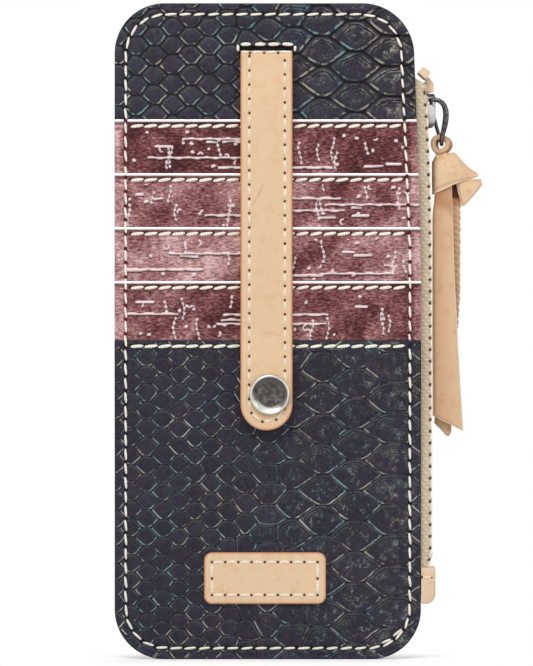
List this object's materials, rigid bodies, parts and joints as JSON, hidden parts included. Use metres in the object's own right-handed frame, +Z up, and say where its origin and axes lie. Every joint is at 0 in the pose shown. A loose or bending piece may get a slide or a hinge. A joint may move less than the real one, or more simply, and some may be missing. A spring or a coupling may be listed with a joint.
{
  "type": "card organizer",
  "caption": "Upright leather card case with stepped card pockets, a front pocket, a snap strap and a compartment that closes with a side zip.",
  "frame": {"origin": "bottom edge of the case, midway across it, at the pocket backing's mid-thickness", "axes": "+Z up along the case's length, -Y towards the front with the card pockets, +X towards the zip"},
  "size_m": [0.1145, 0.0198, 0.2035],
  "materials": {
    "embossed_leather": "embossed, satin",
    "metallic_leather": "metallic coated",
    "natural_leather": "natural, matte",
    "backing_board": "matte",
    "lining_cloth": "woven",
    "zip_tape": "woven",
    "antique_nickel": "satin"
  },
  "bodies": {
    "case": {"upper_front_panel": "embossed_leather", "front_pocket": "embossed_leather", "back_panel": "embossed_leather", "card_pocket_1": "metallic_leather", "card_pocket_2": "metallic_leather", "card_pocket_3": "metallic_leather", "card_pocket_4": "metallic_leather", "pocket_backing": "backing_board", "lining_front": "lining_cloth", "lining_back": "lining_cloth", "zip_tape_front": "zip_tape", "zip_tape_back": "zip_tape", "zip_chain_front": "antique_nickel", "zip_chain_back": "antique_nickel", "zip_top_stop_front": "antique_nickel", "zip_top_stop_back": "antique_nickel", "zip_bottom_stop": "antique_nickel", "zip_tab_top": "natural_leather", "zip_tab_bottom": "natural_leather", "label_patch": "natural_leather", "strap_sewn_end": "natural_leather", "snap_stud": "antique_nickel"},
    "strap": {"strap_front": "natural_leather", "strap_backing": "natural_leather", "snap_cap": "antique_nickel", "snap_socket": "antique_nickel"},
    "slider": {"zip_slider": "antique_nickel"},
    "puller": {"puller_ring": "antique_nickel"},
    "pull": {"leather_pull": "natural_leather"}
  },
  "joints": [
    {"name": "slider_slide", "type": "slide", "parent": "case", "child": "slider", "axis": [0, 0, -1], "range_m": [0, 0.1278], "deforming": ["zip_chain_front", "zip_chain_back"]},
    {"name": "puller_hinge", "type": "hinge", "parent": "slider", "child": "puller", "pos_m": [0.05075, 0.00435, 0.1736], "axis": [0, -1, 0], "range_deg": [0, 95]},
    {"name": "pull_hinge", "type": "hinge", "parent": "puller", "child": "pull", "pos_m": [0.05405, 0.00435, 0.1604], "axis": [0, -1, 0], "range_deg": [0, 60]},
    {"name": "strap_hinge", "type": "hinge", "parent": "case", "child": "strap", "pos_m": [-0.0004, -0.00455, 0.18655], "axis": [-1, 0, 0], "range_deg": [0, 165]}
  ]
}
